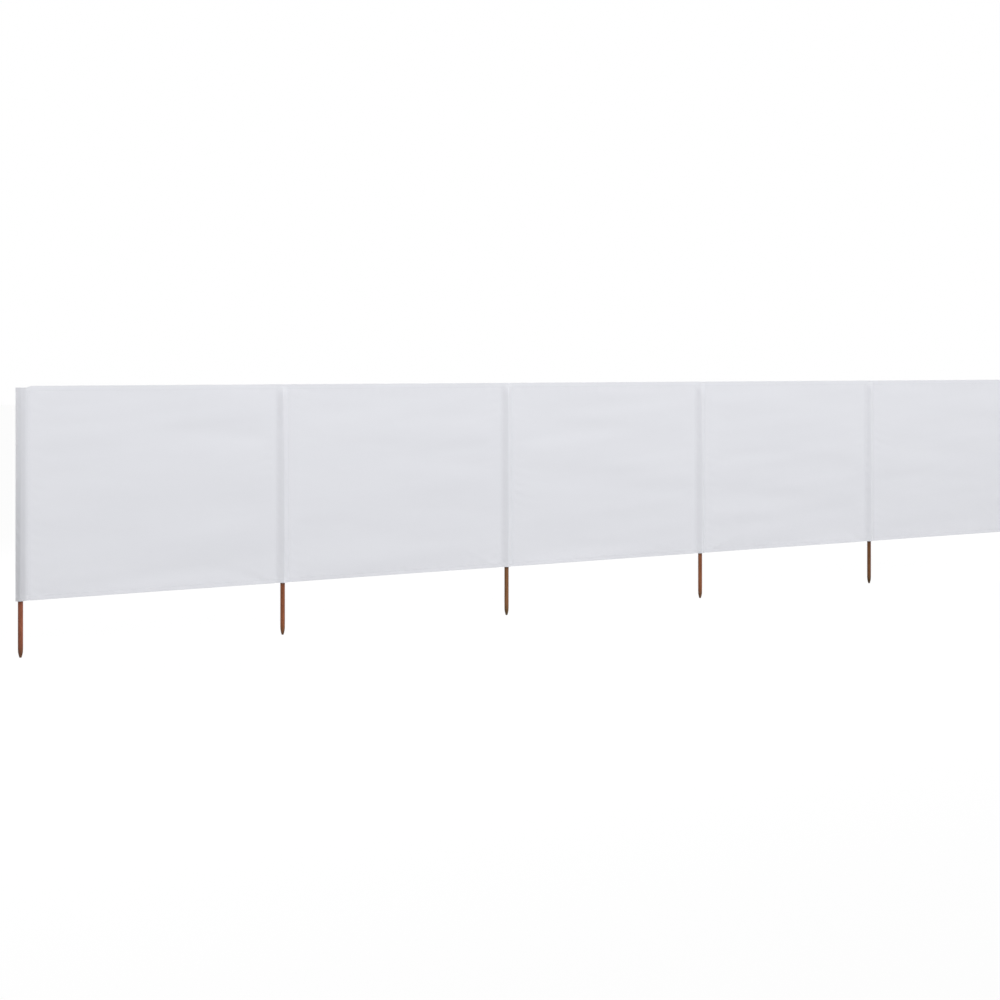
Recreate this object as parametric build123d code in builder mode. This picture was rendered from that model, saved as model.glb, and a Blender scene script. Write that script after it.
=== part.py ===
from build123d import *
from math import asin, cos, sin
import os

# Beach windbreak: cloth bays stretched between round wooden posts that are pushed into
# the sand. Millimetres, +Z up. X runs along the cloth, the front of the cloth faces -Y,
# and the origin is on the blunt point of the first post.

# Whole windbreak
overall_length = 6000.0
overall_height = 1200.0
leg_length = 250.0
bay_count = 5

# Posts
post_diameter = 22.0
point_length = 38.0
point_flat_diameter = 9.0
post_top_chamfer = 4.0

# Cloth
cloth_thickness = 1.0
post_clearance = 0.3
seam_slack = 18.0
fold_slack = 7.0
fold_lap = 3.0
front_lap = 3.0
seam_lap = 12.0
pinch_height = 26.0

# How far a sleeve layer stands off: its full rise round the post, or laid onto the front to close
full_share = 1.0
closed_share = -1.0

# Hems
hem_thickness = 2.0
top_hem_height = 25.0
bottom_hem_height = 20.0

# Heights and places that follow from the sizes above
cloth_height = overall_height - leg_length
top_hem_bottom = overall_height - top_hem_height
sleeve_shoulder = top_hem_bottom - pinch_height
post_length = sleeve_shoulder
sleeve_radius = post_diameter / 2 + post_clearance
seam_reach = sleeve_radius + seam_slack
fold_reach = sleeve_radius + fold_slack
end_reach = fold_reach + fold_lap
post_pitch = (overall_length - 2 * end_reach) / bay_count
post_places = [post_pitch * number for number in range(bay_count + 1)]
last_post = bay_count
front_side = -1
back_side = 1

os.makedirs("parts", exist_ok=True)


def reaches(number):
    """Distances from a post's axis to the left and right edges of its sleeve."""
    left = fold_reach if number == 0 else seam_reach
    right = fold_reach if number == last_post else seam_reach
    return left, right


def laps(number, lap):
    """Flat margins left and right of a sleeve: a fold outside the end posts, else a seam."""
    left = fold_lap if number == 0 else lap
    right = fold_lap if number == last_post else lap
    return left, right


def flank(reach, thickness, rise_share):
    """Inner shoulder, outer foot and outer shoulder of a flank that runs from its seam up to the post."""
    lift = asin(sleeve_radius / reach)
    outer_radius = sleeve_radius + thickness
    outer_foot = (outer_radius - thickness * cos(lift)) / sin(lift)
    inner_rise = rise_share * sleeve_radius * cos(lift)
    outer_rise = thickness + rise_share * (outer_radius * cos(lift) - thickness)
    return (sleeve_radius * sin(lift), inner_rise), outer_foot, (outer_radius * sin(lift), outer_rise)


def sleeve_outline(number, height, side, lap, thickness, rise_share):
    """Section of a sleeve layer: flat laps, straight flanks off the seams and a round over the post."""
    left_reach, right_reach = reaches(number)
    left_lap, right_lap = laps(number, lap)
    left_inner, left_foot, left_outer = flank(left_reach, thickness, rise_share)
    right_inner, right_foot, right_outer = flank(right_reach, thickness, rise_share)
    left_end = -left_reach - left_lap
    right_end = right_reach + right_lap
    left_in = (-left_inner[0], side * left_inner[1])
    right_in = (right_inner[0], side * right_inner[1])
    left_out = (-left_outer[0], side * left_outer[1])
    right_out = (right_outer[0], side * right_outer[1])
    inner_crown = side * rise_share * sleeve_radius
    outer_crown = inner_crown + side * thickness
    flat = side * thickness
    with BuildLine(Plane(origin=(post_places[number], 0, height))) as outline:
        Polyline((left_end, 0), (-left_reach, 0), left_in)
        ThreePointArc(left_in, (0, inner_crown), right_in)
        Polyline(right_in, (right_reach, 0), (right_end, 0), (right_end, flat))
        Polyline((right_end, flat), (right_foot, flat), right_out)
        ThreePointArc(right_out, (0, outer_crown), left_out)
        Polyline(left_out, (-left_foot, flat), (left_end, flat))
        Line((left_end, flat), (left_end, 0))
    return Face(outline.wire())


def sleeve_layer(number, side, lap, hem, top_share):
    """One side of a sleeve: along the post, then straight on or closing above it, and up the top hem."""
    shoulder = sleeve_outline(number, sleeve_shoulder, side, lap, cloth_thickness, full_share)
    closing = sleeve_outline(number, top_hem_bottom, side, lap, cloth_thickness, top_share)
    top_hem = sleeve_outline(number, top_hem_bottom, side, lap, hem, top_share)
    mouth = sleeve_outline(number, leg_length, side, lap, hem, full_share)
    with BuildPart() as layer:
        extrude(shoulder, amount=sleeve_shoulder - leg_length, dir=(0, 0, -1))
        loft([shoulder, closing], ruled=True)
        extrude(mouth, amount=bottom_hem_height, dir=(0, 0, 1))
        extrude(top_hem, amount=top_hem_height, dir=(0, 0, 1))
    return layer.part


def cloth_band(left, right, front, back, bottom, height):
    """Flat rectangular length of cloth, given by its edges."""
    middle = Plane(origin=((left + right) / 2, (front + back) / 2, bottom))
    with BuildPart() as band:
        with BuildSketch(middle):
            Rectangle(right - left, back - front)
        extrude(amount=height)
    return band.part


def write_piece(piece, name):
    """Name a finished piece and write it."""
    piece.label = name
    export_step(piece, f"parts/{name}.step")


# Posts: turned rods with a rounded point below and a chamfered top inside the sleeve
for number, place in enumerate(post_places):
    point_start = (post_diameter / 2, point_length)
    point_end = (point_flat_diameter / 2, 0)
    with BuildPart() as post:
        with BuildSketch(Plane(origin=(place, 0, 0), x_dir=(1, 0, 0), z_dir=(0, -1, 0))):
            with BuildLine():
                TangentArc(point_start, point_end, tangent=(0, -1))
                Polyline(point_end, (0, 0), (0, post_length), (post_diameter / 2, post_length), point_start)
            make_face()
        revolve(axis=Axis((place, 0, 0), (0, 0, 1)))
        chamfer(post.edges().group_by(Axis.Z)[-1], post_top_chamfer)
    write_piece(post.part, f"post_{number + 1}")

# Sleeves: the main cloth bulges over the front of each post up to its top edge. A strip that
# is lapped onto the cloth goes round the back, and comes forward above the post to close it
for number in range(bay_count + 1):
    sleeve_front = sleeve_layer(number, front_side, front_lap, cloth_thickness, full_share)
    sleeve_back = sleeve_layer(number, back_side, seam_lap, hem_thickness, closed_share)
    write_piece(sleeve_front, f"sleeve_front_{number + 1}")
    write_piece(sleeve_back, f"sleeve_back_{number + 1}")

# Bays: the taut cloth between two sleeves, with a folded hem along its top and bottom
for number in range(bay_count):
    panel_left = post_places[number] + seam_reach + front_lap
    panel_right = post_places[number + 1] - seam_reach - front_lap
    hem_left = post_places[number] + seam_reach + seam_lap
    hem_right = post_places[number + 1] - seam_reach - seam_lap
    bay = number + 1
    panel = cloth_band(panel_left, panel_right, -cloth_thickness, 0, leg_length, cloth_height)
    top_hem = cloth_band(hem_left, hem_right, 0, hem_thickness, top_hem_bottom, top_hem_height)
    bottom_hem = cloth_band(hem_left, hem_right, 0, hem_thickness, leg_length, bottom_hem_height)
    write_piece(panel, f"panel_{bay}")
    write_piece(top_hem, f"top_hem_{bay}")
    write_piece(bottom_hem, f"bottom_hem_{bay}")
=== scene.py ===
# %% [markdown]
# # A beach windbreak, dressed around its CAD frame
# A windbreak is one long length of cloth, sewn into sleeves, with a pointed wooden post in
# each sleeve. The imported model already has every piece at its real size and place, so this
# lesson loads it as a fixed frame and only gives it cloth, seams, stitches and wood.

# %% Load the frame
import math

import bpy
import numpy as np
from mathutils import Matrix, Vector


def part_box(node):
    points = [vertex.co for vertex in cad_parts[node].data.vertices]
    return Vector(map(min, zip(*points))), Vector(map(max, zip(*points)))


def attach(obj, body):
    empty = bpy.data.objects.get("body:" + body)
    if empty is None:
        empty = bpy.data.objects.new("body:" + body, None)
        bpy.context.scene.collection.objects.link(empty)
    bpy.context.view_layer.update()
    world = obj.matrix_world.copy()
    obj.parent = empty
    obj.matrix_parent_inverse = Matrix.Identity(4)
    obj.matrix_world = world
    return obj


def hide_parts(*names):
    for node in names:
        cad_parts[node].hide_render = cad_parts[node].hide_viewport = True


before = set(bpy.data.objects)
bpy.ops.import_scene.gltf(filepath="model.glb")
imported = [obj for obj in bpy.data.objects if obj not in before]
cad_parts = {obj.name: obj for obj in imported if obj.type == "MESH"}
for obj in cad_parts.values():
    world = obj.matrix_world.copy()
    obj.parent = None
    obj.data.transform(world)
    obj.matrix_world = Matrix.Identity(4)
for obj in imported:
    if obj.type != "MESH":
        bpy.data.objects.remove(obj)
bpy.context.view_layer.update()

# %% [markdown]
# ## Sizes come from the frame
# Typing sizes twice is how a dressed model drifts away from its frame. The boxes of the CAD
# nodes give the posts, the seams and the hems, so only small sewing sizes are written here.
# X runs along the cloth, the front faces -Y and Z is up, in metres.

# %% Read posts, sleeves and hems
post_count = 6
post_numbers = range(1, post_count + 1)
bay_numbers = range(1, post_count)
front_lap = 0.003
post_x = []
sleeve_reach = []
for number in post_numbers:
    post_low, post_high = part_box(f"post_{number}")
    front_low, front_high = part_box(f"sleeve_front_{number}")
    axis = (post_low.x + post_high.x) / 2
    post_x.append(axis)
    sleeve_reach.append((axis - front_low.x - front_lap, front_high.x - axis - front_lap))
post_radius = (post_high.x - post_low.x) / 2
post_top = post_high.z
seam_reach = sleeve_reach[1][0]
lap_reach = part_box("sleeve_back_2")[1].x - post_x[1]
seam_lap = lap_reach - seam_reach
panel_low, panel_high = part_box("panel_1")
cloth_bottom = panel_low.z
cloth_top = panel_high.z
top_hem_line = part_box("top_hem_1")[0].z
bottom_hem_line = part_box("bottom_hem_1")[1].z
cloth_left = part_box("sleeve_front_1")[0].x
cloth_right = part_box("sleeve_front_6")[1].x
cloth_middle_height = (cloth_bottom + cloth_top) / 2
print("posts at", [round(x, 3) for x in post_x], "cloth", round(cloth_left, 3), round(cloth_right, 3))

# %% [markdown]
# ## The surface of the cloth as one rule
# The cloth could be modelled bay by bay, but hems, sleeves and stitches all have to lie on
# it. So one function says how far forward the cloth stands at any place along it and any
# height. Every soft piece then asks the same function, and nothing floats or sinks.
#
# Over an inner post the cloth leaves its seams in two straight flanks. The sleeve is cut loose,
# so they meet in a soft ridge that leans to the right of the rod, and less so near the top. At
# the two ends the cloth folds round the rod, with the fold pulled forward, most at the top.
# Above the rod the front sinks back on its way to the hem, and the strip comes forward to it.

# %% Sleeves: how far the cloth stands off over a post
cloth_thickness = 0.0008
sheet_plane = -0.0005
sleeve_ease = 0.0009
sleeve_radius = post_radius + sleeve_ease
fold_lift_low = 0.003
fold_lift_high = 0.009
crease_softness = 0.0004
shoulder = post_top
foot_share = 0.9
foot_reach = foot_share * seam_reach
foot_softness = 0.0012
ridge_softness = 0.002
ridge_lean = 0.0055
ridge_lean_tops = (0.0, 0.0, 0.0045, 0.0, 0.0045, 0.0)
end_top_slack = 0.3
inner_top_slack = 0.65
corner_sag = 0.007
corner_sag_full = 0.045
corner_sag_gone = 0.07


def ease_between(value, start, end):
    """0 before start, 1 after end, with a smooth ramp between."""
    share = np.clip((value - start) / (end - start), 0.0, 1.0)
    return share * share * (3.0 - 2.0 * share)


def fold_inset(x):
    """Distance in from the nearer end fold of the cloth."""
    return np.minimum(x - cloth_left, cloth_right - x)


def layer_rise(along, height, number, forward):
    """How far a sleeve's front (forward 1) or back (-1) layer stands off the plane of the cloth."""
    reach = np.where(along < 0, *sleeve_reach[number - 1])
    up_rod = ease_between(height, cloth_bottom, shoulder)
    fold_lift = fold_lift_low + (fold_lift_high - fold_lift_low) * up_rod
    foot = np.where(reach < foot_reach, forward * fold_lift, 0.0)
    lift = np.arcsin(sleeve_radius / np.hypot(reach, foot)) - np.arctan(foot / reach)
    flank = (reach - np.abs(along)) * np.tan(lift)
    crown = np.sqrt(np.maximum(sleeve_radius**2 - along**2, 0.0)) - foot
    rise = np.where(np.abs(along) < sleeve_radius * np.sin(lift), crown, flank)
    return foot + crease_softness * np.logaddexp(0.0, rise / crease_softness)


def ridge_rise(along, height, number):
    """How far forward the loose front of an inner sleeve stands, up to a ridge right of the rod."""
    upper = ease_between(height, cloth_middle_height, shoulder)
    lean = ridge_lean + (ridge_lean_tops[number - 1] - ridge_lean) * upper
    slope = math.tan(math.asin(sleeve_radius / foot_reach))
    left_flank = (foot_reach + along) * slope
    right_flank = (seam_reach - along) * slope * (foot_reach + lean) / (seam_reach - lean)
    rise = -ridge_softness * np.logaddexp(-left_flank / ridge_softness, -right_flank / ridge_softness)
    softness = np.where(along < 0, foot_softness, crease_softness)
    rise = softness * np.logaddexp(0.0, rise / softness)
    return np.maximum(rise, np.sqrt(np.maximum(sleeve_radius**2 - along**2, 0.0)))


def front_rise(along, height, number):
    """How far forward the main cloth stands over a post."""
    above_rod = ease_between(height, shoulder, cloth_top)
    if number in (1, post_count):
        return layer_rise(along, height, number, 1.0) * (1.0 - end_top_slack * above_rod)
    return ridge_rise(along, height, number) * (1.0 - inner_top_slack * above_rod)


def back_rise(along, height, number):
    """How far back the strip stands behind a post, until it comes forward to close the sleeve."""
    closing = ease_between(height, shoulder, top_hem_line)
    sewn_down = ease_between(np.abs(along), foot_reach, seam_reach)
    open_rise = layer_rise(along, height, number, -1.0)
    return open_rise * (1.0 - closing) - front_rise(along, height, number) * np.maximum(closing, sewn_down)


def placed(x, y, z):
    """Points of the cloth, with the top corners at the two end posts a little sunk."""
    near_end = 1.0 - ease_between(fold_inset(x), corner_sag_full, corner_sag_gone)
    sink = corner_sag * near_end * ease_between(z, shoulder, cloth_top)
    return np.stack([x, y, z - sink], axis=-1)


section_steps = 500
across_sleeve = np.linspace(-seam_reach, seam_reach, section_steps)
ridge_height = front_rise(across_sleeve, cloth_middle_height, 2).max()
print("an inner sleeve stands", round(float(ridge_height), 4), "m off half way up")

# %% [markdown]
# Taut cloth is never quite flat. Pulled sideways it makes long shallow ripples that run with
# the pull, it puckers where a seam has drawn it up, and it drags in short folds out of its
# corners. Summed waves with a fixed seed give all three, and they die away at the seams, so
# the bays still meet their sleeves exactly.

# %% Ripples, puckers and corner folds of a taut bay
ripple_count = 26
ripple_height = 0.0009
ripple_blend = 0.42
ripple_lengths = (0.7, 2.6)
ripple_spacings = (0.07, 0.34)
ripple_start = 0.09
pucker_count = 9
pucker_height = 0.0006
pucker_blend = 3.0
pucker_reach = 0.055
pucker_start = 0.02
pucker_slant = 0.25
pucker_spacings = (0.02, 0.06)
hem_pucker_height = 0.00016
hem_pucker_reach = 0.02
hem_pucker_start = 0.05
hem_pucker_spacings = (0.03, 0.09)
billow_depth = 0.004
billow_shares = (0.6, 1.2)
billow_edge_share = 0.55
folds_in_corner = 3
corner_fold_depth = 0.0012
corner_fold_angles = (12.0, 58.0)
corner_fold_lengths = (0.04, 0.11)
corner_fold_widths = (0.009, 0.02)
corner_fold_start = 0.03
top_fold_share = 0.25
full_turn = 2 * math.pi

cloth_seed = 11
drawing = np.random.default_rng(cloth_seed)
ripple_long = drawing.uniform(*ripple_lengths, ripple_count)
ripple_short = drawing.uniform(*ripple_spacings, ripple_count)
ripple_turn = drawing.uniform(0.0, full_turn, ripple_count)
ripple_slant = drawing.choice((-1.0, 1.0), ripple_count)
pucker_length = drawing.uniform(*pucker_spacings, pucker_count)
pucker_turn = drawing.uniform(0.0, full_turn, (post_count, 2, pucker_count))
hem_pucker_length = drawing.uniform(*hem_pucker_spacings, pucker_count)
hem_pucker_turn = drawing.uniform(0.0, full_turn, pucker_count)
billow_share = drawing.uniform(*billow_shares, post_count - 1)
corner_folds = []
for bay in range(post_count - 1):
    for side in (0, 1):
        for end, end_share in ((0, 1.0), (1, top_fold_share)):
            for fold in range(folds_in_corner):
                corner_folds.append({
                    "bay": bay, "side": side, "end": end,
                    "angle": math.radians(drawing.uniform(*corner_fold_angles)),
                    "length": drawing.uniform(*corner_fold_lengths),
                    "width": drawing.uniform(*corner_fold_widths),
                    "depth": corner_fold_depth * drawing.uniform(-1.0, 1.0) * end_share,
                })


def seam_distance(x):
    """Distance into the bay from the nearest sleeve lap, and zero on the sleeves."""
    gaps = [np.abs(x - place) - lap_reach for place in post_x]
    return np.maximum(np.min(gaps, axis=0), 0.0)


def ripples(x, z):
    """Long shallow ripples that run along the pull of the cloth."""
    total = np.zeros(np.broadcast(x, z).shape)
    for long, short, turn, slant in zip(ripple_long, ripple_short, ripple_turn, ripple_slant):
        size = ripple_height * (short / ripple_short.max()) * ripple_blend
        total += size * np.sin(full_turn * (x / long + slant * z / short) + turn)
    return total * ease_between(seam_distance(x), 0.0, ripple_start)


def seam_puckers(x, z):
    """Short folds that a seam draws into the cloth beside a sleeve."""
    total = np.zeros(np.broadcast(x, z).shape)
    for index, place in enumerate(post_x):
        for side, facing in enumerate((-1.0, 1.0)):
            inward = (x - place) * facing - lap_reach
            near = np.exp(-np.maximum(inward, 0.0) / pucker_reach) * ease_between(inward, 0.0, pucker_start)
            for length, turn in zip(pucker_length, pucker_turn[index, side]):
                wave = np.sin(full_turn * (z + pucker_slant * inward) / length + turn)
                total += pucker_height / pucker_blend * near * wave * (length / pucker_length.max())
    return total


def drag_folds(x, z):
    """Folds that run out of the corners of a bay."""
    total = np.zeros(np.broadcast(x, z).shape)
    for fold in corner_folds:
        number = fold["bay"] + fold["side"]
        facing = 1.0 if fold["side"] == 0 else -1.0
        corner_x = post_x[number] + facing * lap_reach
        corner_z, rising = (cloth_bottom, 1.0) if fold["end"] == 0 else (cloth_top, -1.0)
        across_bay = (x - corner_x) * facing
        up_bay = (z - corner_z) * rising
        along = across_bay * math.cos(fold["angle"]) + up_bay * math.sin(fold["angle"])
        across = up_bay * math.cos(fold["angle"]) - across_bay * math.sin(fold["angle"])
        reach = np.maximum(along, 0.0) / fold["length"]
        strength = reach * np.exp(1.0 - reach) * np.exp(-(across / fold["width"]) ** 2)
        total += fold["depth"] * strength * ease_between(across_bay, 0.0, corner_fold_start)
    return total


def billow(x, z):
    """The slight hollow that the wind leaves in each bay."""
    total = np.zeros(np.broadcast(x, z).shape)
    rise = (z - cloth_bottom) / (cloth_top - cloth_bottom)
    for bay, share in enumerate(billow_share):
        left = post_x[bay] + lap_reach
        right = post_x[bay + 1] - lap_reach
        part = np.clip((x - left) / (right - left), 0.0, 1.0)
        height_share = billow_edge_share + (1.0 - billow_edge_share) * np.sin(math.pi * rise)
        total += billow_depth * share * np.sin(math.pi * part) ** 2 * height_share
    return total


def hem_puckers(x, z):
    """Gathering along the two hems."""
    wave = np.zeros(np.broadcast(x, z).shape)
    for length, turn in zip(hem_pucker_length, hem_pucker_turn):
        wave += np.sin(full_turn * x / length + turn) * length / hem_pucker_length.max()
    near = np.zeros(wave.shape)
    for hem_line in (top_hem_line, bottom_hem_line):
        near += np.exp(-np.abs(z - hem_line) / hem_pucker_reach)
    return hem_pucker_height * wave * near * ease_between(seam_distance(x), 0.0, hem_pucker_start)


print("corner folds", len(corner_folds), "ripples", ripple_count)

# %% [markdown]
# A sewn row pulls the layers together, so the cloth dips along every stitch line. The dip is
# part of the surface rule too, which lets the stitches sit down in it later.

# %% The finished surface rule
stitch_dip = 0.00035
dip_width = 0.0013
hem_row_inset = 0.0035
top_row = top_hem_line + hem_row_inset
bottom_row = bottom_hem_line - hem_row_inset
inner_row_gap = 0.0015
lap_edge_gap = 0.003
outer_row_gap = seam_lap - lap_edge_gap
fold_join = 0.002


def row_dips(x, z):
    """Dips along the rows of stitches."""
    dip = np.exp(-((z - top_row) / dip_width) ** 2) + np.exp(-((z - bottom_row) / dip_width) ** 2)
    for place in post_x:
        for gap in (inner_row_gap, outer_row_gap):
            off_row = np.abs(x - place) - seam_reach - gap
            dip = dip + np.exp(-(off_row / dip_width) ** 2) * (z < top_row)
    return stitch_dip * np.minimum(dip, 1.0)


def at_fold(x):
    """1 along the cloth, falling to 0 at the folded ends where front and back layers join."""
    return ease_between(fold_inset(x), 0.0, fold_join)


def sheet_y(x, z):
    """Y of the middle of the main cloth at a place along it and a height."""
    x, z = np.broadcast_arrays(np.asarray(x, float), np.asarray(z, float))
    y = sheet_plane * at_fold(x)
    for number in post_numbers:
        y = y - front_rise(x - post_x[number - 1], z, number)
    soft = ripples(x, z) + seam_puckers(x, z) + drag_folds(x, z) + billow(x, z) + hem_puckers(x, z)
    return y + soft + row_dips(x, z)


sample_y = sheet_y(np.linspace(cloth_left, cloth_right, section_steps), cloth_middle_height)
nearest, farthest = float(sample_y.min()), float(sample_y.max())
print("half way up, the cloth lies between", round(nearest, 4), "and", round(farthest, 4))

# %% [markdown]
# ## Turning a surface into cloth
# A single skin has no edge to catch the light, and it exports badly. Each soft piece is a
# grid of points with a front skin, a back skin and a rim between them. Solidify would do
# this too, but here the thickness changes where cloth is turned under, so the two skins are
# set off along the grid's own normals.

# %% Helpers that build cloth meshes


def grid_normals(points):
    """Unit normals of a grid of points, pointing to the back of the windbreak."""
    up = np.gradient(points, axis=0)
    along = np.gradient(points, axis=1)
    normals = np.cross(up, along)
    return normals / np.linalg.norm(normals, axis=2, keepdims=True)


def new_piece(name, vertices, faces):
    """A smooth mesh object at the origin with its place in its vertices."""
    mesh = bpy.data.meshes.new(name)
    mesh.from_pydata(vertices.tolist(), [], faces)
    mesh.polygons.foreach_set("use_smooth", [True] * len(mesh.polygons))
    mesh.update()
    piece = bpy.data.objects.new(name, mesh)
    bpy.context.scene.collection.objects.link(piece)
    return piece


def two_skins(name, points, thickness):
    """A closed length of cloth round a grid of middle points, rows going up and columns along X."""
    rows, columns = points.shape[:2]
    offset = grid_normals(points) * (np.asarray(thickness) / 2)[..., None]
    vertices = np.concatenate([(points - offset).reshape(-1, 3), (points + offset).reshape(-1, 3)])
    front = np.arange(rows * columns).reshape(rows, columns)
    back = front + rows * columns
    faces = []
    for r in range(rows - 1):
        for c in range(columns - 1):
            faces.append((front[r, c], front[r, c + 1], front[r + 1, c + 1], front[r + 1, c]))
            faces.append((back[r, c], back[r + 1, c], back[r + 1, c + 1], back[r, c + 1]))
    rim = [*front[0, :], *front[1:, -1], *front[-1, -2::-1], *front[-2:0:-1, 0]]
    for here, after in zip(rim, rim[1:] + rim[:1]):
        faces.append((here, here + rows * columns, after + rows * columns, after))
    piece = new_piece(name, vertices, [tuple(int(i) for i in face) for face in faces])
    mark_rim_sharp(piece, len(faces) - len(rim))
    return piece


def mark_rim_sharp(piece, first_rim_face):
    """Sharp edges round the rim keep the smooth shading of the skins clean."""
    mesh = piece.data
    edge_of = {edge.key: edge.index for edge in mesh.edges}
    sharp = [False] * len(mesh.edges)
    for face in mesh.polygons[first_rim_face:]:
        for key in face.edge_keys:
            sharp[edge_of[key]] = True
    mesh.attributes.new("sharp_edge", "BOOLEAN", "EDGE").data.foreach_set("value", sharp)


def folded_band(name, rings):
    """A closed band swept along X: rings is columns by points round the section."""
    columns, around = rings.shape[:2]
    number = np.arange(columns * around).reshape(columns, around)
    faces = []
    for c in range(columns - 1):
        for a in range(around):
            b = (a + 1) % around
            faces.append((number[c, a], number[c, b], number[c + 1, b], number[c + 1, a]))
    faces.append(tuple(number[0, ::-1]))
    faces.append(tuple(number[-1, :]))
    piece = new_piece(name, rings.reshape(-1, 3), [tuple(int(i) for i in face) for face in faces])
    mark_rim_sharp(piece, len(faces) - 2)
    return piece


def graded(start, end, fine, coarse, near):
    """Places from start to end, fine apart within near of both ends and coarse apart between."""
    edge = np.arange(0.0, near, fine)
    count = max(2, int(round((end - start - 2 * near) / coarse)) + 1)
    middle = np.linspace(start + near, end - near, count)
    return np.concatenate([start + edge, middle, end - edge[::-1]])


column_fine = 0.0022
column_coarse = 0.0105
seam_near = 0.026
bay_columns = graded(panel_low.x, panel_high.x, column_fine, column_coarse, seam_near)
print("grid columns in a bay", len(bay_columns))

# %% [markdown]
# ## The bays
# Each bay is the stretch of cloth between two sleeves. A cloth simulation could stretch it
# too, but pulled this tight it only flattens the sheet, so the ripples come from the surface
# rule. The grid is fine beside the seams and hems, where the puckers and dips are.

# %% Make the bays
row_fine = 0.0016
row_coarse = 0.0115
hem_near = 0.03
cloth_rows = graded(cloth_bottom, cloth_top, row_fine, row_coarse, hem_near)
bays = {}
for bay in bay_numbers:
    low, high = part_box(f"panel_{bay}")
    columns = graded(low.x, high.x, column_fine, column_coarse, seam_near)
    x, z = np.meshgrid(columns, cloth_rows)
    points = placed(x, sheet_y(x, z), z)
    bays[bay] = two_skins(f"bay_cloth_{bay}", points, np.full(x.shape, cloth_thickness))
    print(f"bay {bay}: {len(columns)} by {len(cloth_rows)} points, {len(bays[bay].data.polygons)} faces")

# %% [markdown]
# ## The sleeves
# The front of a sleeve is the main cloth itself, and the back is a strip laid over the post
# and sewn down on both sides. The strip's raw edges are turned under, so it is thicker along
# its laps, and the mouth at the bottom is hemmed. Loose cloth on a rod sags into small
# crosswise wrinkles on its flanks, while the crown stays tight.

# %% Make the sleeves
lap_turn = 0.007
turned_thickness = 0.0014
mouth_thickness = 0.0016
turn_steepness = 8.0
mouth_edge = 0.002
wrinkle_height = 0.0007
wrinkle_blend = 0.4
wrinkle_slant = 0.3
wrinkle_spacings = (0.022, 0.09)
wrinkle_span = (0.25, 0.6)
wrinkle_seam_share = 0.3
wrinkle_count = 8
wrinkle_length = drawing.uniform(*wrinkle_spacings, wrinkle_count)
wrinkle_turn = drawing.uniform(0.0, full_turn, (2, post_count, 2, wrinkle_count))
sleeve_row_coarse = 0.009
sleeve_rows = graded(cloth_bottom, cloth_top, row_fine, sleeve_row_coarse, hem_near)
strip_rows = sleeve_rows[sleeve_rows < top_row]
sleeve_columns = 41
strip_columns = 53


def sleeve_wrinkles(along, z, number, layer):
    """Crosswise wrinkles on the flanks of a sleeve, nothing on the crown or at the seams."""
    reach = np.where(along < 0, *sleeve_reach[number - 1])
    outward = np.clip(np.abs(along) / reach, 0.0, 1.0)
    flank = ease_between(outward, *wrinkle_span) * ease_between(1.0 - outward, 0.0, wrinkle_seam_share)
    total = np.zeros(np.broadcast(along, z).shape)
    for side in (0, 1):
        here = (along < 0) if side == 0 else (along >= 0)
        for length, turn in zip(wrinkle_length, wrinkle_turn[layer, number - 1, side]):
            wave = np.sin(full_turn * (z - wrinkle_slant * np.abs(along)) / length + turn)
            total += here * wave * length / wrinkle_length.max()
    below_hem = 1.0 - ease_between(z, shoulder, top_hem_line)
    return wrinkle_height * wrinkle_blend * total * flank * below_hem


def mouth_share(z):
    """1 in the hem of a sleeve's mouth, 0 above it."""
    return 1.0 - ease_between(z, bottom_hem_line - mouth_edge, bottom_hem_line)


def front_layer(x, z, number):
    """Middle and thickness of the front of a sleeve."""
    extra = mouth_share(z) * at_fold(x) * (mouth_thickness - cloth_thickness)
    y = sheet_y(x, z) + sleeve_wrinkles(x - post_x[number - 1], z, number, 0) - extra / 2
    return y, cloth_thickness + extra


def strip_layer(x, z, number):
    """Middle and thickness of the strip round the back of a sleeve."""
    low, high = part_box(f"sleeve_back_{number}")
    along = x - post_x[number - 1]
    edge_gap = np.minimum(x - low.x, high.x - x)
    turned_share = np.minimum(ease_between(lap_turn - edge_gap, 0.0, lap_turn) * turn_steepness, 1.0)
    turned = turned_share * (turned_thickness - cloth_thickness)
    hemmed = mouth_share(z) * (mouth_thickness - cloth_thickness)
    extra = np.maximum(turned, hemmed) * at_fold(x)
    rise = back_rise(along, z, number) + sleeve_wrinkles(along, z, number, 1)
    y = -sheet_plane * at_fold(x) + rise - row_dips(x, z) + extra / 2
    return y, cloth_thickness + extra


sleeves = {}
strips = {}
for number in post_numbers:
    low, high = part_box(f"sleeve_front_{number}")
    x, z = np.meshgrid(np.linspace(low.x, high.x, sleeve_columns), sleeve_rows)
    y, thickness = front_layer(x, z, number)
    sleeves[number] = two_skins(f"sleeve_cloth_{number}", placed(x, y, z), thickness)
    low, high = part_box(f"sleeve_back_{number}")
    x, z = np.meshgrid(np.linspace(low.x, high.x, strip_columns), strip_rows)
    y, thickness = strip_layer(x, z, number)
    strips[number] = two_skins(f"sleeve_strip_{number}", placed(x, y, z), thickness)
print("sleeves", len(sleeves), "strips", len(strips), "faces each", len(sleeves[1].data.polygons))

# %% [markdown]
# ## The hems
# A hem is the cloth's own edge, turned over twice to the back and sewn down. From behind it
# is a soft flat tube: round at the fold, full in the middle and pinched along its stitches.
# Its section is drawn once, as pairs of a share of its height and a share of its depth from
# the fold down the back to the sewn edge and up the front, and is swept along the cloth.

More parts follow.
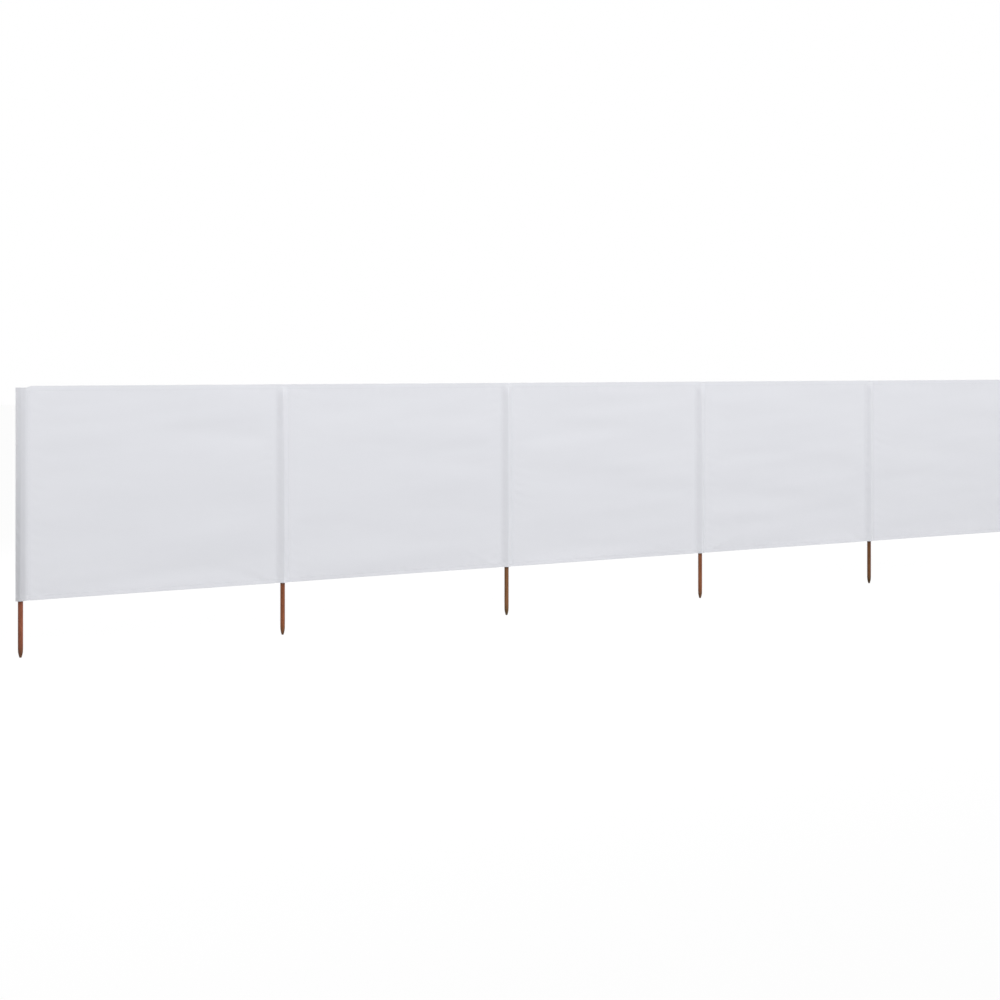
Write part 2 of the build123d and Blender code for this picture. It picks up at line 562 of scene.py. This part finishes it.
# %% Make the hems
hem_depth = 0.0019
hem_fine = 0.0022
hem_coarse = 0.0095
hem_turn_near = 0.056
fold_over = 0.0006
hem_section = np.array((
    (1.0, -0.1), (1.0, 0.35), (0.985, 0.72), (0.94, 0.96), (0.8, 1.08), (0.62, 1.1), (0.42, 1.02),
    (0.27, 0.86), (0.14, 0.72), (0.06, 0.82), (0.0, 0.7),
    (0.0, 0.2), (0.14, 0.08), (0.5, 0.06), (0.9, 0.06), (0.97, -0.42),
))
hem_height_shares, hem_depth_shares = hem_section.T


def hem_band(name, left, right, fold_z, edge_z):
    """The turned hem behind the cloth, from its fold to its sewn edge."""
    columns = graded(left, right, hem_fine, hem_coarse, hem_turn_near)
    heights = edge_z + (fold_z - edge_z) * hem_height_shares
    heights = heights + np.where(hem_height_shares >= 1.0, np.sign(fold_z - edge_z) * fold_over, 0.0)
    x, z = np.meshgrid(columns, heights, indexing="ij")
    behind = sheet_y(x, np.clip(z, cloth_bottom, cloth_top)) + cloth_thickness / 2
    y = behind + hem_depth * hem_depth_shares[None, :]
    rings = placed(x, y, z)
    if fold_z < edge_z:
        rings = rings[:, ::-1]
    return folded_band(name, rings)


top_hems = {}
bottom_hems = {}
for bay in bay_numbers:
    left = cloth_left if bay == 1 else post_x[bay - 1]
    right = cloth_right if bay == post_count - 1 else post_x[bay]
    top_hems[bay] = hem_band(f"top_hem_band_{bay}", left, right, cloth_top, top_hem_line)
    low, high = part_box(f"bottom_hem_{bay}")
    bottom_hems[bay] = hem_band(f"bottom_hem_band_{bay}", low.x, high.x, cloth_bottom, bottom_hem_line)
print("hems", len(top_hems) + len(bottom_hems), "faces each", len(top_hems[2].data.polygons))

# %% [markdown]
# ## Stitches
# Thousands of stitches are the same short spindle of thread laid end to end along a seam, so
# they suit Geometry Nodes: the seam is a line, the tree walks along it and sets a spindle at
# every step. The tree has inputs for pitch, length, thickness and seed, and it realizes its
# instances because an export drops them. The result is turned into a plain mesh.

# %% Build the stitch tree
shortest_stitch = 0.88
longest_stitch = 1.08


def stitch_tree():
    """A node tree that lays stitches along the edges of a mesh."""
    tree = bpy.data.node_groups.new("Row of stitches", "GeometryNodeTree")
    tree.interface.new_socket("Seam", in_out="INPUT", socket_type="NodeSocketGeometry")
    for label in ("Pitch", "Length", "Thread"):
        tree.interface.new_socket(label, in_out="INPUT", socket_type="NodeSocketFloat")
    tree.interface.new_socket("Seed", in_out="INPUT", socket_type="NodeSocketInt")
    tree.interface.new_socket("Finish", in_out="INPUT", socket_type="NodeSocketMaterial")
    tree.interface.new_socket("Stitches", in_out="OUTPUT", socket_type="NodeSocketGeometry")
    node = {}
    for label, kind in (
        ("in", "NodeGroupInput"), ("out", "NodeGroupOutput"), ("curve", "GeometryNodeMeshToCurve"),
        ("walk", "GeometryNodeCurveToPoints"), ("spindle", "GeometryNodeMeshIcoSphere"),
        ("turn", "FunctionNodeAlignRotationToVector"), ("size", "ShaderNodeCombineXYZ"),
        ("half", "ShaderNodeVectorMath"), ("vary", "FunctionNodeRandomValue"),
        ("grow", "ShaderNodeVectorMath"), ("place", "GeometryNodeInstanceOnPoints"),
        ("real", "GeometryNodeRealizeInstances"), ("finish", "GeometryNodeSetMaterial"),
    ):
        node[label] = tree.nodes.new(kind)
    node["walk"].mode = "LENGTH"
    node["spindle"].inputs["Subdivisions"].default_value = 1
    node["spindle"].inputs["Radius"].default_value = 1.0
    node["turn"].axis = "X"
    node["half"].operation = "SCALE"
    node["half"].inputs["Scale"].default_value = 0.5
    node["vary"].data_type = "FLOAT"
    # This node has sockets of the same name for each kind of value, so its floats go by number
    node["vary"].inputs[2].default_value = shortest_stitch
    node["vary"].inputs[3].default_value = longest_stitch
    node["grow"].operation = "SCALE"
    for source, output, target, entry in (
        ("in", "Seam", "curve", "Mesh"), ("curve", "Curve", "walk", "Curve"),
        ("in", "Pitch", "walk", "Length"), ("walk", "Tangent", "turn", "Vector"),
        ("in", "Length", "size", "X"), ("in", "Thread", "size", "Y"), ("in", "Thread", "size", "Z"),
        ("size", "Vector", "half", 0), ("in", "Seed", "vary", "Seed"),
        ("half", "Vector", "grow", 0), ("vary", 1, "grow", "Scale"),
        ("walk", "Points", "place", "Points"), ("spindle", "Mesh", "place", "Instance"),
        ("turn", "Rotation", "place", "Rotation"), ("grow", "Vector", "place", "Scale"),
        ("place", "Instances", "real", "Geometry"), ("real", "Geometry", "finish", "Geometry"),
        ("in", "Finish", "finish", "Material"), ("finish", "Geometry", "out", "Stitches"),
    ):
        tree.links.new(node[source].outputs[output], node[target].inputs[entry])
    return tree


stitches_tree = stitch_tree()
print("stitch tree nodes", len(stitches_tree.nodes))

# %% [markdown]
# ## Finishes
# The cloth is a plain woven polyester, off-white with a faint cool cast. A single colour
# would look like paper, so fine thread bumps, uneven yarn and a slight cloudiness are mixed
# in. The posts are stained rods: streaky along the grain, darker at the cut point, and no
# two quite the same colour. All patterns read Object coordinates, because every piece sits
# at the origin and the pattern then stays put.

# %% Cloth finish


def new_finish(name):
    """An empty node material with a Principled surface."""
    finish = bpy.data.materials.new(name)
    finish.use_nodes = True
    finish.node_tree.nodes.clear()
    surface = finish.node_tree.nodes.new("ShaderNodeBsdfPrincipled")
    output = finish.node_tree.nodes.new("ShaderNodeOutputMaterial")
    finish.node_tree.links.new(surface.outputs["BSDF"], output.inputs["Surface"])
    return finish, finish.node_tree, surface


def object_pattern(tree, kind, scale, stretch=(1.0, 1.0, 1.0), **settings):
    """A texture node on stretched Object coordinates."""
    place = tree.nodes.new("ShaderNodeTexCoord")
    mapping = tree.nodes.new("ShaderNodeMapping")
    mapping.inputs["Scale"].default_value = stretch
    pattern = tree.nodes.new(kind)
    pattern.inputs["Scale"].default_value = scale
    for key, value in settings.items():
        if key in pattern.inputs:
            pattern.inputs[key].default_value = value
        else:
            setattr(pattern, key, value)
    tree.links.new(place.outputs["Object"], mapping.inputs["Vector"])
    tree.links.new(mapping.outputs["Vector"], pattern.inputs["Vector"])
    return pattern


def ramp(tree, source, stops):
    """A colour ramp over a value."""
    node = tree.nodes.new("ShaderNodeValToRGB")
    while len(node.color_ramp.elements) < len(stops):
        node.color_ramp.elements.new(0.5)
    for element, (place, colour) in zip(node.color_ramp.elements, stops):
        element.position = place
        element.color = (*colour, 1.0)
    tree.links.new(source, node.inputs["Fac"])
    return node


def mixed(tree, first, second, share, blend="MIX"):
    """Two colours mixed; share is a number or a socket."""
    node = tree.nodes.new("ShaderNodeMix")
    node.data_type = "RGBA"
    node.blend_type = blend
    colour_sockets = [s for s in node.inputs if s.type == "RGBA"]
    factor = [s for s in node.inputs if s.name == "Factor" and s.type == "VALUE"][0]
    for socket, value in ((factor, share), (colour_sockets[0], first), (colour_sockets[1], second)):
        if isinstance(value, bpy.types.NodeSocket):
            tree.links.new(value, socket)
        elif socket.type == "RGBA":
            socket.default_value = (*value, 1.0)
        else:
            socket.default_value = value
    return [s for s in node.outputs if s.type == "RGBA"][0]


def maths(tree, operation, *values):
    """One sum on two or three values, each a number or a socket."""
    node = tree.nodes.new("ShaderNodeMath")
    node.operation = operation
    for socket, value in zip(node.inputs, values):
        if isinstance(value, bpy.types.NodeSocket):
            tree.links.new(value, socket)
        else:
            socket.default_value = value
    return node.outputs["Value"]


def bumped(tree, surface, height, distance, strength):
    """Raise a surface's normal by a height pattern."""
    node = tree.nodes.new("ShaderNodeBump")
    node.inputs["Distance"].default_value = distance
    node.inputs["Strength"].default_value = strength
    tree.links.new(height, node.inputs["Height"])
    tree.links.new(node.outputs["Normal"], surface.inputs["Normal"])


thread_pitch = 0.0011
# One wave of Blender's wave texture at scale 1
wave_length = full_turn / 20.0
yarn_stretch = (9.0, 9.0, 420.0)
cloud_stretch = (1.6, 1.6, 7.0)
yarn_share = 0.3
weave_depth = 0.00012
# Painted shade over the end sleeves: the cloth colour is scaled down near both ends, most at the bottom.
painted_end_shade_depth = 0.215
painted_end_shade_full = 0.030
painted_end_shade_gone = 0.060
painted_end_shade_top_share = 0.62


def place_axes(tree):
    """Object X and Z as values."""
    place = tree.nodes.new("ShaderNodeTexCoord")
    axes = tree.nodes.new("ShaderNodeSeparateXYZ")
    tree.links.new(place.outputs["Object"], axes.inputs["Vector"])
    return axes.outputs["X"], axes.outputs["Z"]


def eased(tree, source, ends, values):
    """A value carried smoothly from one range to another."""
    node = tree.nodes.new("ShaderNodeMapRange")
    node.interpolation_type = "SMOOTHSTEP"
    for label, value in zip(("From Min", "From Max", "To Min", "To Max"), (*ends, *values)):
        node.inputs[label].default_value = value
    tree.links.new(source, node.inputs["Value"])
    return node.outputs["Result"]


def painted_end_shade(tree):
    """Painted shade: darker over the end sleeves, near both ends of the cloth, more so low down."""
    x, z = place_axes(tree)
    from_left = maths(tree, "SUBTRACT", x, cloth_left)
    from_right = maths(tree, "SUBTRACT", cloth_right, x)
    inward = maths(tree, "MINIMUM", from_left, from_right)
    near = eased(tree, inward, (painted_end_shade_full, painted_end_shade_gone), (painted_end_shade_depth, 0.0))
    low = eased(tree, z, (cloth_bottom, cloth_top), (1.0, painted_end_shade_top_share))
    return maths(tree, "SUBTRACT", 1.0, maths(tree, "MULTIPLY", near, low))


def woven_cloth(name, light, dark):
    """Plain woven cloth between a light and a dark shade of its colour, with painted shade over the end
    sleeves.
    """
    finish, tree, surface = new_finish(name)
    scale = wave_length / thread_pitch
    warp = object_pattern(tree, "ShaderNodeTexWave", scale, bands_direction="X")
    weft = object_pattern(tree, "ShaderNodeTexWave", scale, bands_direction="Z")
    weave = maths(tree, "MULTIPLY", warp.outputs["Fac"], weft.outputs["Fac"])
    yarn = object_pattern(tree, "ShaderNodeTexNoise", 1.0, yarn_stretch, Detail=3.0, Roughness=0.6)
    cloud = object_pattern(tree, "ShaderNodeTexNoise", 1.0, cloud_stretch, Detail=4.0, Roughness=0.55)
    yarn_part = maths(tree, "MULTIPLY", yarn.outputs["Fac"], yarn_share)
    tone = maths(tree, "MULTIPLY_ADD", cloud.outputs["Fac"], 1.0 - yarn_share, yarn_part)
    colour = ramp(tree, tone, ((0.3, dark), (0.7, light)))
    colour_with_painted_shade = tree.nodes.new("ShaderNodeVectorMath")
    colour_with_painted_shade.operation = "SCALE"
    tree.links.new(colour.outputs["Color"], colour_with_painted_shade.inputs[0])
    # The cloth colour is scaled by the painted shade over the end sleeves.
    tree.links.new(painted_end_shade(tree), colour_with_painted_shade.inputs["Scale"])
    tree.links.new(colour_with_painted_shade.outputs["Vector"], surface.inputs["Base Color"])
    surface.inputs["Roughness"].default_value = 0.86
    surface.inputs["Specular IOR Level"].default_value = 0.25
    surface.inputs["Sheen Weight"].default_value = 0.12
    surface.inputs["Sheen Roughness"].default_value = 0.5
    height = maths(tree, "MULTIPLY_ADD", weave, 1.0 - yarn_share, yarn_part)
    bumped(tree, surface, height, distance=weave_depth, strength=0.5)
    return finish


cloth_finish = woven_cloth("windbreak_cloth", (0.737, 0.744, 0.781), (0.717, 0.724, 0.762))
hem_finish = woven_cloth("hem_cloth", (0.749, 0.756, 0.792), (0.731, 0.738, 0.775))
print("cloth finishes made")

# %% [markdown]
# Thread is a little brighter and smoother than the cloth it holds. Wood needs two sizes of
# streak: broad bands of early and late wood, and fine pores that also roughen the surface.

# %% Thread and wood finishes
thread_dark = (0.54, 0.55, 0.58)
thread_light = (0.64, 0.65, 0.68)
twist_scale = 900.0
twist_depth = 0.0001


def sewing_thread():
    """Twisted polyester thread."""
    finish, tree, surface = new_finish("sewing_thread")
    twist = object_pattern(tree, "ShaderNodeTexNoise", twist_scale, Detail=1.0)
    colour = ramp(tree, twist.outputs["Fac"], ((0.3, thread_dark), (0.7, thread_light)))
    tree.links.new(colour.outputs["Color"], surface.inputs["Base Color"])
    surface.inputs["Roughness"].default_value = 0.6
    bumped(tree, surface, twist.outputs["Fac"], distance=twist_depth, strength=0.3)
    return finish


grain_stretch = (130.0, 130.0, 3.2)
pore_stretch = (900.0, 900.0, 26.0)
streak_shades = ((0.26, (0.52, 0.50, 0.48)), (0.5, (0.98, 0.98, 0.98)), (0.74, (1.42, 1.45, 1.48)))
pore_shades = ((0.36, (0.45, 0.42, 0.40)), (0.52, (1.0, 1.0, 1.0)))
gloss_shades = ((0.3, (0.62, 0.62, 0.62)), (0.7, (0.42, 0.42, 0.42)))
pore_share = 0.7
grain_depth = 0.0003
damp_foot = 0.004
damp_height = 0.07
damp_share = 0.85
damp_tint = (0.46, 0.66, 0.58)
# A painted shadow darkens each post just below the mouth of its sleeve.
mouth_shadow_height = 0.02
mouth_shadow_share = 0.8
mouth_shadow_tint = (0.42, 0.45, 0.48)
batch_places = [0.0] + [(number - 0.5) / (post_count - 1) for number in range(1, post_count)]
post_stains = ((0.254, 0.077, 0.038), (0.251, 0.078, 0.031), (0.204, 0.088, 0.034),
               (0.238, 0.081, 0.033), (0.147, 0.057, 0.019), (0.228, 0.077, 0.032))


def stained_wood():
    """Stained round rods with a darker cut point and a painted shadow below the sleeve mouths."""
    finish, tree, surface = new_finish("stained_wood")
    bands = object_pattern(tree, "ShaderNodeTexNoise", 1.0, grain_stretch,
                           Detail=5.0, Roughness=0.6, Distortion=0.4)
    pores = object_pattern(tree, "ShaderNodeTexNoise", 1.0, pore_stretch, Detail=2.0, Roughness=0.7)
    streaks = ramp(tree, bands.outputs["Fac"], streak_shades)
    pore_shade = ramp(tree, pores.outputs["Fac"], pore_shades)
    x, z = place_axes(tree)
    batch = ramp(tree, maths(tree, "DIVIDE", x, post_x[-1]), tuple(zip(batch_places, post_stains)))
    batch.color_ramp.interpolation = "CONSTANT"
    grained = mixed(tree, batch.outputs["Color"], streaks.outputs["Color"], 1.0, "MULTIPLY")
    grained = mixed(tree, grained, pore_shade.outputs["Color"], pore_share, "MULTIPLY")
    damp = eased(tree, z, (damp_foot, damp_height), (damp_share, 0.0))
    pointed = mixed(tree, grained, mixed(tree, grained, damp_tint, 1.0, "MULTIPLY"), damp)
    # Painted shadow under the sleeve mouth, darkest where the post goes into the cloth.
    painted_mouth_shadow = eased(tree, z, (cloth_bottom - mouth_shadow_height, cloth_bottom), (0.0, mouth_shadow_share))
    colour = mixed(tree, pointed, mixed(tree, pointed, mouth_shadow_tint, 1.0, "MULTIPLY"), painted_mouth_shadow)
    tree.links.new(colour, surface.inputs["Base Color"])
    gloss = ramp(tree, bands.outputs["Fac"], gloss_shades)
    tree.links.new(gloss.outputs["Color"], surface.inputs["Roughness"])
    surface.inputs["Specular IOR Level"].default_value = 0.25
    relief = maths(tree, "ADD", bands.outputs["Fac"], pores.outputs["Fac"])
    bumped(tree, surface, relief, distance=grain_depth, strength=0.4)
    return finish


thread_finish = sewing_thread()
wood_finish = stained_wood()
for number in post_numbers:
    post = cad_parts[f"post_{number}"]
    post.data.materials.clear()
    post.data.materials.append(wood_finish)
print("posts finished", len(post_x))

# %% [markdown]
# ## Sewing it together
# The rows follow the surface rule a hair above the cloth, front and back. One mesh of lines
# goes through the stitch tree for each set of rows: hems and sleeves, front and back.

# %% Lay the stitches
stitch_pitch = 0.0044
stitch_length = 0.0037
thread_width = 0.0008
thread_lift = 0.0001
row_step = 0.012
level_step = 0.003
mouth_step = 0.0015
stitch_seed = 5


def row_points(x, z, facing):
    """Points of a row on the front (-1) or back (1) skin of the main cloth."""
    return placed(x, sheet_y(x, z) + facing * (cloth_thickness / 2 + thread_lift), z)


def seam_lines(name, rows):
    """A mesh of open lines, one for each row."""
    vertices = np.concatenate(rows)
    edges = []
    start = 0
    for row in rows:
        edges += [(start + i, start + i + 1) for i in range(len(row) - 1)]
        start += len(row)
    mesh = bpy.data.meshes.new(name)
    mesh.from_pydata(vertices.tolist(), edges, [])
    seam = bpy.data.objects.new(name, mesh)
    bpy.context.scene.collection.objects.link(seam)
    return seam


def stitched(name, rows):
    """Run rows through the stitch tree and keep the result as a plain mesh."""
    seam = seam_lines(f"{name}_seam", rows)
    sewing = seam.modifiers.new("sewing", "NODES")
    sewing.node_group = stitches_tree
    sockets = {s.name: s.identifier for s in stitches_tree.interface.items_tree if s.in_out == "INPUT"}
    sewing[sockets["Pitch"]] = stitch_pitch
    sewing[sockets["Length"]] = stitch_length
    sewing[sockets["Thread"]] = thread_width
    sewing[sockets["Seed"]] = stitch_seed
    sewing[sockets["Finish"]] = thread_finish
    bpy.context.view_layer.update()
    sewn = bpy.data.meshes.new_from_object(seam.evaluated_get(bpy.context.evaluated_depsgraph_get()))
    sewn.name = name
    sewn.polygons.foreach_set("use_smooth", [True] * len(sewn.polygons))
    seam.modifiers.remove(sewing)
    bpy.data.objects.remove(seam)
    piece = bpy.data.objects.new(name, sewn)
    bpy.context.scene.collection.objects.link(piece)
    print(name, "stitch faces", len(sewn.polygons))
    return piece


def level_row(height, facing, lift=0.0, left=cloth_left + fold_join, right=cloth_right - fold_join):
    """A row at one height, along the whole cloth or a part of it."""
    x = np.arange(left, right, level_step)
    row = row_points(x, np.full(x.shape, height), facing)
    row[:, 1] += facing * lift
    return row


def upright_row(number, side, gap, facing, lift=0.0):
    """A row up one side of a sleeve."""
    z = np.arange(cloth_bottom + stitch_length, top_row, row_step)
    x = np.full(z.shape, post_x[number - 1] + side * (seam_reach + gap))
    row = row_points(x, z, facing)
    row[:, 1] += facing * lift
    return row


def mouth_row(number, node, layer, facing):
    """A row round the mouth of a sleeve, on the skin of its front or its strip."""
    low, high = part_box(f"{node}_{number}")
    x = np.arange(max(low.x, cloth_left + fold_join), min(high.x, cloth_right - fold_join), mouth_step)
    z = np.full(x.shape, bottom_row)
    y, thickness = layer(x, z, number)
    return placed(x, y + facing * (thickness / 2 + thread_lift), z)


end_folds = ((1, -1), (post_count, 1))
upright_places = [(number, side, gap) for number in post_numbers for side in (-1, 1)
                  if (number, side) not in end_folds for gap in (inner_row_gap, outer_row_gap)]
strip_lift = 2 * cloth_thickness - 2 * stitch_dip
front_rows = [upright_row(*place, -1) for place in upright_places]
back_rows = [upright_row(*place, 1, strip_lift) for place in upright_places]
hem_row_share = 0.8
hem_lift = hem_depth * hem_row_share
front_hem_rows = [level_row(top_row, -1)]
back_hem_rows = [level_row(top_row, 1, hem_lift)]
for bay in bay_numbers:
    low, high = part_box(f"panel_{bay}")
    front_hem_rows.append(level_row(bottom_row, -1, 0.0, low.x, high.x))
    low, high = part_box(f"bottom_hem_{bay}")
    back_hem_rows.append(level_row(bottom_row, 1, hem_lift, low.x, high.x))
for number in post_numbers:
    front_hem_rows.append(mouth_row(number, "sleeve_front", front_layer, -1))
    back_hem_rows.append(mouth_row(number, "sleeve_back", strip_layer, 1))
stitches = [
    stitched("sleeve_stitches_front", front_rows),
    stitched("sleeve_stitches_back", back_rows),
    stitched("hem_stitches_front", front_hem_rows),
    stitched("hem_stitches_back", back_hem_rows),
]

# %% [markdown]
# ## Joining the frame
# Each piece now rides on the frame's one body, takes the place of its plain CAD solid and
# takes its finish. The width that each sleeve piece would have laid flat is also measured
# round its section half way up.


def dress(piece, finish, slot, *nodes):
    """Give a piece its finish, its body and the CAD nodes that it stands for."""
    if finish is not None:
        piece.data.materials.clear()
        piece.data.materials.append(finish)
    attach(piece, "root")
    if nodes:
        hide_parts(*nodes)


def cut_width(piece, layer, number):
    """Width of a sleeve piece laid flat, measured round its section half way up."""
    edges = [corner[0] for corner in piece.bound_box]
    x = np.linspace(min(edges), max(edges), section_steps)
    y, thickness = layer(x, np.full(x.shape, cloth_middle_height), number)
    return float(np.hypot(np.diff(x), np.diff(y)).sum())


for bay in bay_numbers:
    dress(bays[bay], cloth_finish, "cloth", f"panel_{bay}")
    dress(top_hems[bay], hem_finish, "hem_cloth", f"top_hem_{bay}")
    dress(bottom_hems[bay], hem_finish, "hem_cloth", f"bottom_hem_{bay}")
    low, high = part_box(f"panel_{bay}")
for number in post_numbers:
    dress(sleeves[number], cloth_finish, "cloth", f"sleeve_front_{number}")
    dress(strips[number], cloth_finish, "cloth", f"sleeve_back_{number}")
    for piece, layer in ((sleeves[number], front_layer), (strips[number], strip_layer)):
        flat_width = cut_width(piece, layer, number)
for piece in stitches:
    dress(piece, None, "cloth")
piece_groups = (bays, sleeves, strips, top_hems, bottom_hems, stitches)
print("pieces dressed", sum(len(group) for group in piece_groups))

# %% [markdown]
# ## The studio
# The picture is a plain product shot on white. A broad soft sun from the right of the camera
# shades the left flank of every sleeve, a long strip light on each side evens out the cloth,
# and a white surround fills the rest. The floor and the surround show pure white to the
# camera, while the floor keeps a soft shadow.

# %% Floor, surround and light
scene = bpy.context.scene
scene.view_settings.view_transform = "Standard"
surround_strength = 0.24
sun_strength = 1.4
sun_from_front = math.radians(13)
sun_height = math.radians(38)
sun_softness = math.radians(20)
strip_length = 12.0
strip_width = 1.0
strip_away = 2.5
strip_height = 2.6
front_strip_power = 101.0
back_strip_power = 190.0
floor_size = 80.0
floor_gap = 0.0003
floor_grey = 0.50
floor_glow = 1.1
floor_glow_share = 0.85
white = (1.0, 1.0, 1.0, 1.0)


def seen_rays(tree):
    """1 for rays from the camera, straight or by way of a mirror or glass, and 0 for light."""
    rays = tree.nodes.new("ShaderNodeLightPath")
    seen = maths(tree, "MAXIMUM", rays.outputs["Is Camera Ray"], rays.outputs["Is Glossy Ray"])
    return maths(tree, "MAXIMUM", seen, rays.outputs["Is Transmission Ray"])


world = bpy.data.worlds.new("white_surround")
scene.world = world
world.use_nodes = True
tree = world.node_tree
tree.nodes.clear()
surround = tree.nodes.new("ShaderNodeBackground")
surround.inputs["Color"].default_value = white
level = maths(tree, "MULTIPLY_ADD", seen_rays(tree), 1.0 - surround_strength, surround_strength)
tree.links.new(level, surround.inputs["Strength"])
world_output = tree.nodes.new("ShaderNodeOutputWorld")
tree.links.new(surround.outputs["Background"], world_output.inputs["Surface"])

floor_mesh = bpy.data.meshes.new("floor")
half = floor_size / 2
floor_corners = [(x * half, y * half, -floor_gap) for x, y in ((-1, -1), (1, -1), (1, 1), (-1, 1))]
floor_mesh.from_pydata(floor_corners, [], [(0, 1, 2, 3)])
floor = bpy.data.objects.new("floor", floor_mesh)
scene.collection.objects.link(floor)
floor_finish = bpy.data.materials.new("pale_floor")
floor_finish.use_nodes = True
tree = floor_finish.node_tree
tree.nodes.clear()
matt = tree.nodes.new("ShaderNodeBsdfDiffuse")
matt.inputs["Color"].default_value = (floor_grey, floor_grey, floor_grey, 1.0)
glow = tree.nodes.new("ShaderNodeEmission")
glow.inputs["Color"].default_value = white
glow.inputs["Strength"].default_value = floor_glow
blend = tree.nodes.new("ShaderNodeMixShader")
tree.links.new(maths(tree, "MULTIPLY", seen_rays(tree), floor_glow_share), blend.inputs["Fac"])
tree.links.new(matt.outputs["BSDF"], blend.inputs[1])
tree.links.new(glow.outputs["Emission"], blend.inputs[2])
floor_output = tree.nodes.new("ShaderNodeOutputMaterial")
tree.links.new(blend.outputs["Shader"], floor_output.inputs["Surface"])
floor_mesh.materials.append(floor_finish)

sun = bpy.data.lights.new("soft_sun", "SUN")
sun.energy = sun_strength
sun.angle = sun_softness
sun_object = bpy.data.objects.new("soft_sun", sun)
sun_object.rotation_euler = (math.pi / 2 - sun_height, 0.0, sun_from_front)
scene.collection.objects.link(sun_object)
cloth_middle = (cloth_left + cloth_right) / 2
for side, power in ((-1, front_strip_power), (1, back_strip_power)):
    strip = bpy.data.lights.new("strip_light", "AREA")
    strip.shape = "RECTANGLE"
    strip.size = strip_length
    strip.size_y = strip_width
    strip.energy = power
    strip_object = bpy.data.objects.new("strip_light", strip)
    strip_object.location = (cloth_middle, side * strip_away, strip_height)
    drop = math.atan2(strip_height - cloth_top / 2, strip_away)
    strip_object.rotation_euler = (-side * (math.pi / 2 - drop), 0.0, 0.0)
    strip_object.visible_camera = False
    scene.collection.objects.link(strip_object)
print("surround", surround_strength, "sun", sun_strength, "strips", front_strip_power, back_strip_power)

# %% [markdown]
# ## The camera
# The posts stand upright in the picture, so the camera is level and its frame is shifted
# down instead of tilting. Its place, turn and focal length were worked out from where the
# post axes, hems and points fall in the picture.

# %% Camera
camera_x = -0.65
camera_distance = 6.32
camera_height = 1.294
camera_turn = math.radians(25.36)
focal_pixels = 1355.0
horizon_row = 364.8
picture_size = 1000.0
sensor = 36.0
camera_far = 200.0
lens = bpy.data.cameras.new("camera")
lens.sensor_width = sensor
lens.lens = focal_pixels / picture_size * sensor
lens.shift_y = (horizon_row - picture_size / 2) / picture_size
lens.clip_end = camera_far
camera = bpy.data.objects.new("camera", lens)
camera.location = (camera_x, -camera_distance, camera_height)
camera.rotation_euler = (math.pi / 2, 0.0, -camera_turn)
scene.collection.objects.link(camera)
scene.camera = camera
print("lens", round(lens.lens, 1), "mm, shift", round(lens.shift_y, 3))
